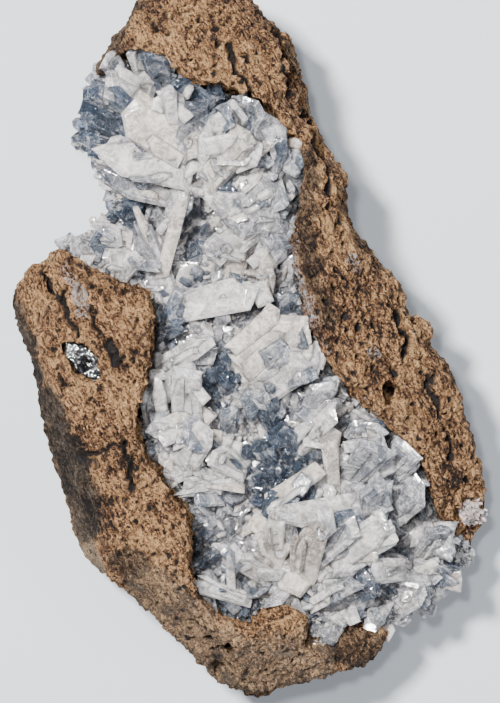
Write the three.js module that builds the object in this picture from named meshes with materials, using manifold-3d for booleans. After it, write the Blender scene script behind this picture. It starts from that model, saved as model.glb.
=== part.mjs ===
// A celestite geode lying on its back with its open side up: a lump of pale brown
// dolostone that was broken open, a long bent hollow in it lined with one crust of
// bladed celestite crystals, a small second pocket in the left shoulder, and a knob
// of crystals on the right edge.
// Millimetres. +Z is up, out of the open side, +Y is the narrow end and +X the side
// with the broad sloping flank. The origin is on the flat spot that the geode rests on.
import * as THREE from "three";
import { ConvexGeometry } from "three/addons/geometries/ConvexGeometry.js";
import { ImprovedNoise } from "three/addons/math/ImprovedNoise.js";
import { mergeVertices } from "three/addons/utils/BufferGeometryUtils.js";
import Module from "manifold-3d";

const wasm = await Module();
wasm.setup();

// Driving dimensions
const CREST_HEIGHT = 86; // highest that the rock stood over its middle before it broke open
const GIRTH_HEIGHT = 38; // height at which the rock is widest
const BELLY_DROP = 39.3; // the rounded back would reach a little below the resting plane
const RIM_HEIGHT = 62; // where the hollow's wall starts to round into its floor
const FLAT_RIM = 34; // the rim is level this far out from the middle
const RIM_FALL = 0.3; // and this much lower for each millimetre further out
const HOLLOW_DEPTH = 30; // from the rim's height down to the hollow's deepest point
const BED_DIP = 11; // how far the crystals' common bed lies below the rim in the middle
const FIT_GAP = 0.5; // left between the crystals and the rock that they grew on
const CHIMNEY = 60; // how far the hollow's space is carried up past its rim
const BED_OVERLAP = 3; // the bed is made this much too wide, and trimmed by the hollow
const MOUND_SWELL = -3; // the coarse mounds are made a little larger than their sizes
const BIG = 400; // a box far larger than the geode, for flat cuts
const BELLY_SHIFT = { x: 1, y: -13 }; // moves the back's lowest point under the mass

// The rock's widest outline, clockwise from the top left
const ROCK_OUTLINE = [
  [-42, 140], [-34, 144], [-22, 146], [-10, 143], [-3, 137], [4, 131], [9, 125], [15, 118],
  [17, 108], [20, 97], [25, 86], [30, 74], [35, 64], [36, 56], [36, 49], [42, 41], [49, 33],
  [54, 26], [59, 17], [62, 10], [68, 3], [73, -5], [79, -14], [84, -26], [87, -42],
  [91, -55], [94, -65], [90, -75], [84, -87], [76, -96], [66, -102], [54, -111], [50, -122],
  [38, -127], [27, -129], [13, -137], [1, -139], [-10, -136], [-22, -126], [-37, -109],
  [-47, -98], [-60, -93], [-70, -84], [-78, -70], [-81, -55], [-86, -32], [-89, -10],
  [-95, 12], [-97, 21], [-91, 27], [-84, 35], [-70, 43], [-58, 50], [-56, 58], [-62, 66],
  [-67, 77], [-69, 90], [-64, 105], [-55, 121],
];

// The hollow's rim. It passes outside the rock where the crystals reach the edge
const HOLLOW_OUTLINE = [
  [-50, 117], [-41, 117], [-34, 112], [-27, 106], [-21, 97], [-12, 95], [-3, 98], [4, 97],
  [11, 87], [19, 79], [20, 68], [19, 54], [15, 42], [16, 30], [20, 18], [22, 6], [30, -8], [40, -20], [52, -30],
  [61, -38], [68, -48], [71, -62], [76, -72], [90, -84], [84, -100], [68, -110], [52, -116],
  [38, -119], [28, -121], [14, -117], [1, -113], [-10, -109],
  [-20, -102], [-26, -92], [-26, -80], [-25, -70], [-29, -61], [-37, -54], [-43, -44],
  [-47, -32], [-46, -20], [-41, -8], [-39, 4], [-40, 17], [-48, 25], [-58, 28], [-68, 31],
  [-84, 38], [-78, 50], [-66, 56], [-64, 62], [-70, 70], [-75, 80], [-78, 94], [-68, 104],
  [-58, 111],
];

// Each main crystal runs from its foot to its tip. Width is across its broad face, and
// roll turns that face from flat to the view towards edge-on, in degrees
const MAIN_CRYSTALS = [
  // The dome of plates at the narrow end
  { foot: [-40, 95, 63], tip: [-59, 103, 75], width: 14, thick: 6, roll: 12 },
  { foot: [-25, 73, 66], tip: [-52, 91, 75], width: 16, thick: 6, roll: -14 },
  { foot: [-31, 82, 64], tip: [-32, 100, 78], width: 10, thick: 6, roll: 22 },
  { foot: [-35, 99, 56], tip: [-41, 115, 71], width: 11, thick: 6, roll: -24 },
  { foot: [-27, 90, 58], tip: [-29, 104, 72], width: 10, thick: 6, roll: 28 },
  { foot: [-20, 81, 60], tip: [-24, 95, 75], width: 12, thick: 6, roll: -18 },
  { foot: [-24, 67, 63], tip: [-65, 78, 69], width: 18, thick: 6, roll: 12 },
  { foot: [-28, 58, 56], tip: [-60, 67, 62], width: 14, thick: 6, roll: -12 },
  { foot: [-52, 84, 50], tip: [-70, 93, 59], width: 12, thick: 7, roll: 30 },
  { foot: [-52, 79, 50], tip: [-71, 82, 56], width: 10, thick: 6, roll: -32 },
  { foot: [-50, 92, 52], tip: [-67, 101, 63], width: 10, thick: 6, roll: 14 },
  { foot: [-47, 98, 42], tip: [-59, 114, 66], width: 10, thick: 6, roll: 38 },
  { foot: [-13, 76, 58], tip: [-16, 92, 75], width: 13, thick: 6, roll: 16 },
  { foot: [-9, 80, 58], tip: [-6, 94, 73], width: 10, thick: 6, roll: -22 },
  { foot: [-23, 73, 66], tip: [-12, 88, 80], width: 11, thick: 5, roll: -30 },
  { foot: [-20, 63, 64], tip: [-2, 83, 83], width: 14, thick: 6, roll: -22 },
  { foot: [-16, 67, 66], tip: [15, 40, 62], width: 26, thick: 8, roll: 10 },
  { foot: [-3, 71, 68], tip: [7, 79, 80], width: 5, thick: 4, roll: 30 },
  { foot: [12, 57, 56], tip: [15, 77, 70], width: 14, thick: 7, roll: 26 },
  { foot: [4, 62, 60], tip: [9, 81, 75], width: 11, thick: 6, roll: -22 },
  { foot: [2, 76, 58], tip: [6, 91, 72], width: 11, thick: 6, roll: 20 },
  { foot: [-4, 80, 56], tip: [0, 95, 71], width: 11, thick: 6, roll: -12 },
  { foot: [2, 55, 58], tip: [18, 37, 58], width: 19, thick: 8, roll: -26 },
  // Rods and small plates in the neck, and those that reach the left edge
  { foot: [-36, 24, 46], tip: [-27, 59, 67], width: 5.5, thick: 4.5, roll: 24 },
  { foot: [-37, 28, 46], tip: [-45, 54, 62], width: 5, thick: 3, roll: 58 },
  { foot: [-34, 16, 46], tip: [-47, 49, 60], width: 12, thick: 4, roll: -24 },
  { foot: [-3, 37, 58], tip: [-20, 43, 67], width: 13, thick: 4.5, roll: 12 },
  { foot: [-46, 31, 50], tip: [-60, 35, 60], width: 10, thick: 5, roll: 16 },
  { foot: [-54, 26, 52], tip: [-45, 36, 62], width: 8, thick: 4, roll: -14 },
  { foot: [-48, 41, 48], tip: [-65, 46, 56], width: 10, thick: 5, roll: 20 },
  { foot: [-60, 34, 46], tip: [-75, 41, 52], width: 9, thick: 5, roll: -20 },
  { foot: [-46, 46, 48], tip: [-54, 55, 58], width: 7, thick: 4, roll: 36 },
  { foot: [-24, 48, 46], tip: [-26, 63, 62], width: 9, thick: 5, roll: 12 },
  { foot: [-27, 24, 36], tip: [-23, 41, 50], width: 11, thick: 6, roll: 22 },
  { foot: [-18, 22, 40], tip: [-14, 37, 53], width: 9, thick: 5, roll: -22 },
  { foot: [5, 18, 50], tip: [5, 38, 66], width: 7.5, thick: 5, roll: 18 },
  { foot: [12, 18, 46], tip: [14, 36, 60], width: 6, thick: 5, roll: -30 },
  { foot: [-36, 13, 50], tip: [3, 22, 63], width: 15, thick: 6, roll: -14 },
  { foot: [8, 8, 42], tip: [14, 22, 54], width: 12, thick: 6, roll: 12 },
  { foot: [-2, 8, 40], tip: [-4, 21, 52], width: 9, thick: 5, roll: -10 },
  // The broad slabs and standing blades of the middle
  { foot: [-8, -11, 56], tip: [20, 13, 69], width: 22, thick: 8, roll: -12 },
  { foot: [-2, -22, 54], tip: [24, 0, 68], width: 17, thick: 7, roll: 20 },
  { foot: [-40, -10, 52], tip: [-15, 3, 67], width: 9, thick: 5, roll: -22 },
  { foot: [-40, 1, 50], tip: [-29, 8, 61], width: 7, thick: 4, roll: 30 },
  { foot: [-14, -18, 38], tip: [-15, -4, 53], width: 15, thick: 7, roll: 10 },
  { foot: [-26, -38, 52], tip: [-27, -7, 71], width: 13, thick: 6, roll: 16 },
  { foot: [-36, -33, 52], tip: [-38, -11, 67], width: 6, thick: 4, roll: -26 },
  { foot: [-40, -37, 48], tip: [-44, -14, 61], width: 7, thick: 4, roll: 34 },
  { foot: [-19, -29, 56], tip: [-40, -36, 67], width: 11, thick: 5, roll: 16 },
  { foot: [-30, -49, 54], tip: [-19, -29, 70], width: 15, thick: 6, roll: -20 },
  { foot: [-40, -48, 46], tip: [-31, -37, 58], width: 9, thick: 5, roll: 20 },
  { foot: [-3, -50, 52], tip: [-18, -41, 65], width: 12, thick: 5, roll: 20 },
  { foot: [-5, -52, 50], tip: [-31, -57, 62], width: 9, thick: 5, roll: -22 },
  { foot: [-11, -38, 48], tip: [-9, -23, 63], width: 9, thick: 5, roll: 20 },
  { foot: [-4, -32, 48], tip: [6, -19, 62], width: 9, thick: 5, roll: -22 },
  { foot: [-11, -63, 42], tip: [-13, -52, 54], width: 10, thick: 5, roll: 14 },
  { foot: [10, -37, 46], tip: [5, -21, 61], width: 9, thick: 5, roll: 30 },
  { foot: [20, -32, 50], tip: [29, -12, 67], width: 12, thick: 6, roll: 26 },
  { foot: [14, -43, 50], tip: [33, -24, 67], width: 9, thick: 5, roll: -26 },
  { foot: [31, -57, 50], tip: [29, -36, 67], width: 7, thick: 5, roll: 16 },
  { foot: [16, -48, 46], tip: [10, -31, 59], width: 11, thick: 6, roll: -26 },
  { foot: [26, -48, 58], tip: [2, -64, 64], width: 9, thick: 5, roll: 34 },
  { foot: [40, -62, 54], tip: [4, -69, 66], width: 11, thick: 5, roll: -16 },
  { foot: [36, -56, 42], tip: [49, -38, 67], width: 10, thick: 6, roll: 12 },
  { foot: [37, -38, 50], tip: [48, -30, 63], width: 10, thick: 6, roll: 22 },
  { foot: [53, -50, 48], tip: [61, -39, 61], width: 10, thick: 6, roll: -14 },
  { foot: [55, -69, 44], tip: [67, -55, 59], width: 12, thick: 6, roll: -22 },
  { foot: [46, -69, 48], tip: [48, -53, 62], width: 10, thick: 6, roll: 16 },
  // The spray at the wide end, and the crystals that reach the lower right edge
  { foot: [15, -91, 48], tip: [0, -75, 66], width: 6, thick: 4, roll: 22 },
  { foot: [19, -96, 48], tip: [25, -67, 73], width: 10, thick: 5, roll: -16 },
  { foot: [16, -94, 48], tip: [17, -71, 70], width: 7, thick: 4, roll: 36 },
  { foot: [11, -63, 52], tip: [8, -75, 64], width: 10, thick: 5, roll: 12 },
  { foot: [6, -92, 48], tip: [-11, -81, 63], width: 10, thick: 5, roll: -20 },
  { foot: [-9, -101, 50], tip: [-10, -81, 65], width: 4, thick: 3.5, roll: 10 },
  { foot: [-1, -101, 50], tip: [-26, -93, 61], width: 7, thick: 4.5, roll: 16 },
  { foot: [-20, -94, 48], tip: [-17, -110, 58], width: 7, thick: 5, roll: -20 },
  { foot: [16, -91, 50], tip: [-1, -90, 62], width: 6, thick: 4, roll: -30 },
  { foot: [15, -94, 46], tip: [4, -105, 58], width: 6, thick: 4, roll: 20 },
  { foot: [-13, -88, 42], tip: [-21, -83, 54], width: 11, thick: 5, roll: -14 },
  { foot: [20, -93, 48], tip: [55, -69, 67], width: 16, thick: 5, roll: 14 },
  { foot: [18, -90, 50], tip: [41, -67, 69], width: 11, thick: 5, roll: -18 },
  { foot: [22, -98, 46], tip: [41, -86, 61], width: 8, thick: 4, roll: 22 },
  { foot: [21, -104, 46], tip: [43, -91, 62], width: 7, thick: 5, roll: -12 },
  { foot: [40, -83, 46], tip: [49, -99, 52], width: 12, thick: 6, roll: 12 },
  { foot: [60, -89, 46], tip: [44, -89, 59], width: 11, thick: 5, roll: -12 },
  { foot: [65, -85, 40], tip: [75, -71, 52], width: 10, thick: 6, roll: 24 },
  { foot: [39, -109, 40], tip: [27, -117, 53], width: 9, thick: 5, roll: -20 },
  { foot: [34, -98, 36], tip: [39, -111, 54], width: 8, thick: 5, roll: 26 },
  { foot: [57, -97, 38], tip: [71, -101, 46], width: 10, thick: 6, roll: -16 },
  { foot: [52, -101, 40], tip: [44, -113, 50], width: 9, thick: 5, roll: 20 },
  { foot: [66, -92, 38], tip: [82, -91, 46], width: 11, thick: 6, roll: 14 },
];

// Flat broken faces: a point on each and the direction that it faces
const BROKEN_FACES = [
  { at: [-71, -38, 67], facing: [-0.9, -0.3, 0.32] }, // steep grey flank on the left
  { at: [-84, 14, 62], facing: [-0.78, 0.12, 0.6] }, // corner above it
  { at: [-60, -10, 72], facing: [-0.2, -0.05, 0.97] }, // banded face of the left shoulder
  { at: [50, 10, 66], facing: [0.5, 0.04, 0.86] }, // broad flank on the right
  { at: [78, -46, 56], facing: [0.6, -0.35, 0.72] }, // its lower end
  { at: [-20, 132, 74], facing: [-0.1, 0.6, 0.79] }, // top of the narrow end
  { at: [-30, -108, 62], facing: [-0.45, -0.5, 0.74] }, // lower left corner
  { at: [10, -126, 60], facing: [0.1, -0.55, 0.83] }, // tip of the wide end
  { at: [60, 20, 12], facing: [0.62, 0.3, -0.72] }, // under the right flank
  { at: [-64, -20, 12], facing: [-0.62, -0.1, -0.78] }, // under the left flank
  { at: [-20, 118, 10], facing: [-0.1, 0.7, -0.7] }, // under the narrow end
  { at: [30, -112, 8], facing: [0.2, -0.74, -0.64] }, // under the wide end
];

// Cracks and gaps between ledges: where each runs on the rock, its depth and width
const CRACKS = [
  { from: [8, 124, 76], to: [24, 82, 62], deep: 9, wide: 2.2 },
  { from: [26, 77, 66], to: [30, 57, 58], deep: 8, wide: 2.4 },
  { from: [52, 20, 64], to: [60, -2, 60], deep: 7, wide: 2.4 },
  { from: [68, -12, 58], to: [79, -44, 53], deep: 7, wide: 2.6 },
  { from: [-12, 117, 78], to: [-3, 99, 76], deep: 7, wide: 2.2 },
  { from: [-77, 22, 68], to: [-69, 6, 72], deep: 6, wide: 2.2 },
  { from: [-51, -38, 74], to: [-48, -56, 70], deep: 8, wide: 2.2 },
  { from: [-80, -18, 62], to: [-68, -46, 58], deep: 6, wide: 2.6 },
];

// Rounded lumps that stand on the rock, and the nose that pokes into the hollow
const LUMPS = [
  { at: [30, 62, 54], size: [6, 10, 9], turn: -20 },
  { at: [51, 22, 52], size: [7, 11, 10], turn: 35 },
  { at: [62, 4, 48], size: [8, 8, 9], turn: -30 },
  { at: [40, -117, 38], size: [13, 9, 13], turn: 14 },
  { at: [-50, -83, 52], size: [11, 7, 11], turn: 30 },
  { at: [8, 110, 62], size: [7, 12, 12], turn: 24 },
  { at: [-36, 124, 60], size: [14, 11, 12], turn: 0 },
];
const NOSE = { at: [9, -113, 48], size: [12, 11, 15], turn: 0 };

// Swellings of the crystals' bed: the dome at the narrow end, the middle and the spray
const MOUNDS = [
  { at: [-28, 80, 50], size: [33, 30, 20], turn: -20 },
  { at: [2, 62, 46], size: [18, 22, 18], turn: 0 },
  { at: [-6, -6, 42], size: [26, 32, 17], turn: 10 },
  { at: [16, -88, 36], size: [24, 20, 20], turn: 0 },
  { at: [22, -60, 38], size: [36, 20, 18], turn: 0 },
  { at: [56, -84, 30], size: [22, 22, 15], turn: 0 },
  { at: [-50, 34, 38], size: [26, 14, 14], turn: 0 },
];

// Pits that the rock's surface is eaten into
const PITS = [
  { at: [-14, -128, 56], size: [5, 4, 9], turn: 0 },
  { at: [-10, -117, 62], size: [4, 5, 8], turn: 0 },
  { at: [-81, 24, 62], size: [4, 8, 8], turn: 28 },
  { at: [38, -3, 66], size: [5, 9, 8], turn: 24 },
  { at: [52, -19, 62], size: [5, 7, 8], turn: 30 },
];

const POCKET = { at: [-67, -6, 65], size: [6, 12, 11], turn: 38 };
const KNOB = { at: [85, -66, 42], size: [6, 6, 6], turn: 0 };

const noise = new ImprovedNoise();

// Rounded random relief of about one unit either way, with bumps of the given length
function relief(point, length, shift) {
  const p = point.clone().divideScalar(length).addScalar(shift);
  return 1.4 * noise.noise(p.x, p.y, p.z);
}

// Repeatable random numbers from 0 to 1
function randomFrom(seed) {
  let state = seed;
  return () => {
    state = (state * 1103515245 + 12345) % 2147483648;
    return state / 2147483648;
  };
}

// The left and right edges of a closed outline at any height along Y, as a function
function spanOf(outline) {
  return (y) => {
    const crossings = outline.flatMap(([x1, y1], i) => {
      const [x2, y2] = outline[(i + 1) % outline.length];
      const crosses = (y1 - y) * (y2 - y) <= 0 && y1 !== y2;
      return crosses ? [x1 + (x2 - x1) * (y - y1) / (y2 - y1)] : [];
    });
    return { left: Math.min(...crossings), right: Math.max(...crossings) };
  };
}

// A ball's points moved by a rule. Its rings become cross-sections along Y: the rule gets
// each section's height, its left and right edges, how full it is from 0 at the ends to 1,
// and the direction around it from its middle
function sectioned(outline, around, along, rule) {
  const span = spanOf(outline);
  const ys = outline.map(([, y]) => y);
  const middle = (Math.max(...ys) + Math.min(...ys)) / 2;
  const half = (Math.max(...ys) - Math.min(...ys)) / 2 - 0.01;
  const ball = new THREE.SphereGeometry(1, around, along);
  ball.deleteAttribute("normal");
  ball.deleteAttribute("uv");
  const merged = mergeVertices(ball, 1e-5);
  const position = merged.attributes.position;
  const d = new THREE.Vector3();
  for (let i = 0; i < position.count; i++) {
    d.fromBufferAttribute(position, i).normalize();
    const even = 1 - 2 * Math.acos(THREE.MathUtils.clamp(d.y, -1, 1)) / Math.PI;
    const share = 0.7 * even + 0.3 * d.y;
    const ring = Math.hypot(d.x, d.z);
    const full = Math.sqrt(Math.max(0, 1 - share * share));
    const side = ring > 1e-6 ? d.x / ring : 0;
    const up = ring > 1e-6 ? d.z / ring : 0;
    const y = middle + half * share;
    const point = rule({ y, middle, half, full, side, up, ...span(y) });
    position.setXYZ(i, point.x, point.y, point.z);
  }
  return merged;
}

// Across a section, from its left edge at -1 to its right edge at 1
function across({ left, right }, side, roundness, inset) {
  const reach = Math.max(0, (right - left) / 2 - inset);
  return (left + right) / 2 + reach * Math.sign(side) * Math.abs(side) ** roundness;
}

// A geometry's faces as a solid
function solidOf(geometry) {
  const plain = geometry.clone();
  plain.deleteAttribute("normal");
  plain.deleteAttribute("uv");
  const merged = mergeVertices(plain, 1e-4);
  return new wasm.Manifold(new wasm.Mesh({
    numProp: 3,
    vertProperties: merged.attributes.position.array,
    triVerts: new Uint32Array(merged.index.array),
  }));
}

// A solid back as a geometry, with flat faces
function geometryOf(solid) {
  const mesh = solid.getMesh();
  const corners = new Float32Array(mesh.numVert * 3);
  for (let i = 0; i < mesh.numVert; i++) {
    corners.set(mesh.vertProperties.subarray(i * mesh.numProp, i * mesh.numProp + 3), i * 3);
  }
  const indexed = new THREE.BufferGeometry()
    .setAttribute("position", new THREE.BufferAttribute(corners, 3))
    .setIndex(new THREE.BufferAttribute(mesh.triVerts, 1));
  const flat = indexed.toNonIndexed();
  flat.computeVertexNormals();
  return flat;
}

// Everything on the side of a plane that the plane faces
function beyond(at, facing) {
  const box = new THREE.BoxGeometry(BIG, BIG, BIG).translate(0, 0, BIG / 2);
  const turn = new THREE.Quaternion().setFromUnitVectors(
    new THREE.Vector3(0, 0, 1), new THREE.Vector3(...facing).normalize());
  return solidOf(box.applyQuaternion(turn).translate(...at));
}

// The whole lump before it was broken open
function lump() {
  return sectioned(ROCK_OUTLINE, 24, 33, (section) => {
    const { y, full, side, up } = section;
    const height = Math.abs(up);
    const front = up > 0;
    const point = new THREE.Vector3(across(section, side, 0.75, 0), y, GIRTH_HEIGHT);
    if (front) {
      point.z += (CREST_HEIGHT - GIRTH_HEIGHT) * height ** 0.6 * full ** 0.5;
    } else {
      point.x += BELLY_SHIFT.x * height ** 2;
      point.y += BELLY_SHIFT.y * height ** 2;
      point.z -= BELLY_DROP * height ** 0.8 * full ** 0.75;
    }
    const rough = 3 * relief(point, 27, 3) + 1.8 * relief(point, 12, 9);
    point.z += front ? rough * full : 0.7 * rough * full * (1 - height);
    point.x += 0.4 * rough * side * full;
    return point;
  });
}

// Height of the hollow's rim, lower towards the ends where the crystals reach the edge
function rimHeight(x, y) {
  return RIM_HEIGHT - RIM_FALL * Math.max(0, Math.hypot(x, 0.6 * y) - FLAT_RIM);
}

// The space of the hollow, carried up past its rim, and made smaller by the inset
function hollow(inset) {
  return sectioned(HOLLOW_OUTLINE, 18, 26, (section) => {
    const { middle, half, full, side, up } = section;
    const height = Math.abs(up);
    const x = across(section, side, up > 0 ? 0.3 : 0.6, inset);
    const y = middle + (section.y - middle) * (1 - inset / half);
    const rise = up > 0 ? CHIMNEY * height ** 0.5 : -HOLLOW_DEPTH * height ** 0.6 * full ** 0.9;
    return new THREE.Vector3(x, y, rimHeight(x, y) + rise + 0.7 * inset);
  });
}

// The bed that the crystals grow on: it dips from the rim towards the middle
function bed() {
  return sectioned(HOLLOW_OUTLINE, 12, 18, (section) => {
    const { y, full, side, up } = section;
    const x = across(section, side, 0.7, -BED_OVERLAP);
    const point = new THREE.Vector3(x, y, rimHeight(x, y));
    const depth = Math.abs(up) ** 0.6 * full;
    point.z -= up > 0 ? BED_DIP * depth - 3 * relief(point, 12, 5) : CHIMNEY * depth;
    return point;
  });
}

// One flattened crystal with bevelled sides and a chisel-shaped tip
function crystalGeometry({ foot, tip, width, thick, roll }) {
  const from = new THREE.Vector3(...foot);
  const along = new THREE.Vector3(...tip).sub(from);
  const length = along.length();
  along.normalize();
  const across = new THREE.Vector3(0, 0, 1).cross(along).normalize()
    .applyAxisAngle(along, THREE.MathUtils.degToRad(roll));
  const normal = new THREE.Vector3().crossVectors(along, across);
  const shoulder = length - Math.min(0.34 * length, 0.62 * width);
  const corner = (l, w, t) => from.clone().addScaledVector(along, l)
    .addScaledVector(across, w * width).addScaledVector(normal, t * thick);
  return new ConvexGeometry([
    corner(0, -0.4, -0.5), corner(0, 0.4, -0.5), corner(0, -0.4, 0.5), corner(0, 0.4, 0.5),
    corner(shoulder, -0.5, -0.3), corner(shoulder * 0.94, 0.5, -0.3),
    corner(shoulder, -0.42, 0.5), corner(shoulder * 0.94, 0.42, 0.5),
    corner(length, -0.2, 0.1), corner(length * 0.96, 0.18, 0.1),
  ]);
}

// A thin wedge of space that opens a crack in the rock's surface
function crackSpace({ from, to, deep, wide }) {
  const start = new THREE.Vector3(...from);
  const end = new THREE.Vector3(...to);
  const along = end.clone().sub(start);
  const length = along.length();
  along.normalize();
  const across = new THREE.Vector3(0, 0, 1).cross(along).normalize();
  const down = new THREE.Vector3().crossVectors(across, along).normalize();
  const at = (l, w, d) => start.clone().addScaledVector(along, l)
    .addScaledVector(across, w).addScaledVector(down, d);
  const lip = 14;
  return solidOf(new ConvexGeometry([
    at(0, 0.2, -deep * 0.4), at(length, 0.2, -deep * 0.4), at(0.5 * length, 1.5, -deep),
    at(0, -0.5 * wide, lip), at(0, 0.5 * wide, lip),
    at(length, -0.5 * wide, lip), at(length, 0.5 * wide, lip),
    at(0.45 * length, -0.9 * wide, lip), at(0.55 * length, 0.9 * wide, lip),
  ]));
}

// A small uneven rounded body, made smaller all over by the inset
function bubble({ at, size, turn }, inset, detail = 1) {
  const ball = new THREE.IcosahedronGeometry(1, detail);
  const position = ball.attributes.position;
  const point = new THREE.Vector3();
  for (let i = 0; i < position.count; i++) {
    point.fromBufferAttribute(position, i);
    const bulge = 1 + 0.22 * relief(point, 0.8, at[0]);
    position.setXYZ(i, ...size.map((s, axis) => point.getComponent(axis) * (s * bulge - inset)));
  }
  return solidOf(ball.rotateZ(THREE.MathUtils.degToRad(turn)).translate(...at));
}

// Short crystals standing on a bubble's body
function tuft({ at, size }, count, seed) {
  const random = randomFrom(seed);
  return Array.from({ length: count }, () => {
    const heading = 2 * Math.PI * random();
    const spread = 0.55 * random();
    const reach = size[2] * (0.75 + 0.4 * random());
    const sideways = [size[0] * Math.cos(heading) * spread, size[1] * Math.sin(heading) * spread];
    return {
      foot: [at[0] + 0.3 * sideways[0], at[1] + 0.3 * sideways[1], at[2] - 0.5 * size[2]],
      tip: [at[0] + sideways[0], at[1] + sideways[1], at[2] - 0.5 * size[2] + reach],
      width: 0.5 * size[0] + 1.5 * random(),
      thick: 2.4,
      roll: 180 * random(),
    };
  });
}

function joined(solids) {
  return solids.reduce((all, one) => all.add(one));
}

// The largest closed body of a solid, without chips that a cut left loose
function mainBody(solid) {
  return solid.decompose().reduce((a, b) => (b.volume() > a.volume() ? b : a));
}

function buildRock() {
  let rock = solidOf(lump());
  for (const { at, facing } of BROKEN_FACES) rock = rock.subtract(beyond(at, facing));
  rock = rock.subtract(solidOf(hollow(0)));
  for (const place of [...LUMPS, NOSE]) rock = rock.add(bubble(place, 0));
  for (const place of PITS) rock = rock.subtract(bubble(place, 0, 0));
  for (const place of [POCKET, KNOB]) rock = rock.subtract(bubble(place, 0));
  for (const crack of CRACKS) rock = rock.subtract(crackSpace(crack));
  return mainBody(rock.subtract(beyond([0, 0, 0], [0, 0, -1])));
}

function buildCrust() {
  const room = [...LUMPS, NOSE].reduce(
    (space, place) => space.subtract(bubble(place, -FIT_GAP)), solidOf(hollow(FIT_GAP)));
  const base = joined([solidOf(bed()), ...MOUNDS.map((mound) => bubble(mound, MOUND_SWELL, 0))])
    .intersect(solidOf(lump()));
  const crystals = MAIN_CRYSTALS.map((crystal) => solidOf(crystalGeometry(crystal)));
  return mainBody(joined([base, ...crystals]).intersect(room));
}

// Short crystals grown together on a rounded base that fills the place from below
function buildTuft(place, count, seed) {
  const top = place.at[2] - 0.3 * place.size[2];
  const base = bubble(place, FIT_GAP).subtract(beyond([...place.at.slice(0, 2), top], [0, 0, 1]));
  const crystals = tuft(place, count, seed).map((crystal) => solidOf(crystalGeometry(crystal)));
  return mainBody(joined([base, ...crystals]));
}

function addPiece(group, name, solid, look) {
  const mesh = new THREE.Mesh(geometryOf(solid), new THREE.MeshStandardMaterial(look));
  mesh.name = name;
  group.add(mesh);
}

const geode = new THREE.Group();
const rockLook = { color: 0x8f6a45, roughness: 0.92, metalness: 0 };
const crystalLook = { color: 0xdfe6ee, roughness: 0.25, metalness: 0 };
addPiece(geode, "host_rock", buildRock(), rockLook);
addPiece(geode, "crystal_crust", buildCrust(), crystalLook);
addPiece(geode, "side_pocket_crystals", buildTuft(POCKET, 5, 7), crystalLook);
addPiece(geode, "rim_crystal", buildTuft(KNOB, 4, 19), crystalLook);

export default geode;
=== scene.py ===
import itertools
import logging
import math
from collections.abc import Callable, Iterator, Sequence
from dataclasses import dataclass, field, replace
from enum import Enum, IntEnum

import bmesh
import bpy
import numpy as np
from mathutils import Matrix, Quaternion, Vector
from mathutils.bvhtree import BVHTree


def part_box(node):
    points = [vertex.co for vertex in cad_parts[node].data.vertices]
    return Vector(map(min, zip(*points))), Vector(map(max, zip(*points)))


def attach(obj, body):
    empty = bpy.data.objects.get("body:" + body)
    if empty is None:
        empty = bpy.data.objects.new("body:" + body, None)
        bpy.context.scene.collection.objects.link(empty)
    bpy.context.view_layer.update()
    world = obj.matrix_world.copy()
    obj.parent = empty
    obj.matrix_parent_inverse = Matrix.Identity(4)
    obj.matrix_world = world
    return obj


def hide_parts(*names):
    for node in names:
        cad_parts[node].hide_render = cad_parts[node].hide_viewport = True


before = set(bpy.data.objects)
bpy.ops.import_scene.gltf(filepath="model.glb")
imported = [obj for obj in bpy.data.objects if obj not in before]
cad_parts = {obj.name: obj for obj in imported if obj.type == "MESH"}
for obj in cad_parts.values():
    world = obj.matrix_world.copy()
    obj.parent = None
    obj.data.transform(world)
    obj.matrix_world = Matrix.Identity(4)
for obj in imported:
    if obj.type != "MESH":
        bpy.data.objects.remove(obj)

# Metres in a millimetre, and a height in metres that is above the whole geode
MM = 0.001
OVERHEAD = 0.3
# Large odd numbers that scatter lattice points over 32 bits
LATTICE_FACTORS = (73856093, 19349663, 83492791)
SEED_FACTOR = 2654435761
MIXING = ((15, 2246822519), (13, 3266489917))
WORD = 0xFFFFFFFF
LOG = logging.getLogger("geode")

Feed = float | Sequence[float] | bpy.types.NodeSocket
Place = tuple[float, float]
Spot = tuple[float, float, float]


class Tone(Enum):
    """How a crystal looks inside: its milk, its blue and its warmth, each from 0 to 1."""

    CREAM = (0.86, 0.04, 0.75)
    WHITE = (0.88, 0.16, 0.22)
    PALE = (0.6, 0.42, 0.16)
    ICE = (0.6, 0.66, 0.08)
    BLUE = (0.36, 0.8, 0.05)
    SLATE = (0.14, 1.0, 0.0)
    HONEY = (0.82, 0.0, 0.8)


class Seed(IntEnum):
    """Which set of random numbers each kind of relief is made from."""

    LUMPS = 1
    KNOBS = 11
    RIDGES = 21
    GRIT = 27
    STREAKS = 31
    PITS = 41
    PORES = 47
    BED = 71
    BEND = 90


class Layer(Enum):
    """What a mark does to the rock: stain it, coat it with grains, make pores or carve it; pores
    and cracks also get painted shade.
    """

    GREY = 0
    PALE = 1
    CRUST = 2
    CARVED = 3
    POROUS = 4


@dataclass(frozen=True)
class Blade:
    """One flattened crystal: its foot and tip, width, thickness, roll in degrees and tone."""

    foot: Spot
    tip: Spot
    width: float
    thick: float
    roll: float
    tone: Tone


@dataclass(frozen=True)
class Mark:
    """A stroke on the rock's open side, raised where its rise is above zero."""

    layer: Layer
    path: tuple[Place, ...]
    width: float
    rise: float = 0.0
    share: float = 1.0


@dataclass(frozen=True)
class ToneZone:
    """A rounded patch of the hollow in which most small crystals have one tone."""

    at: Place
    size: Place
    tone: Tone


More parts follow.
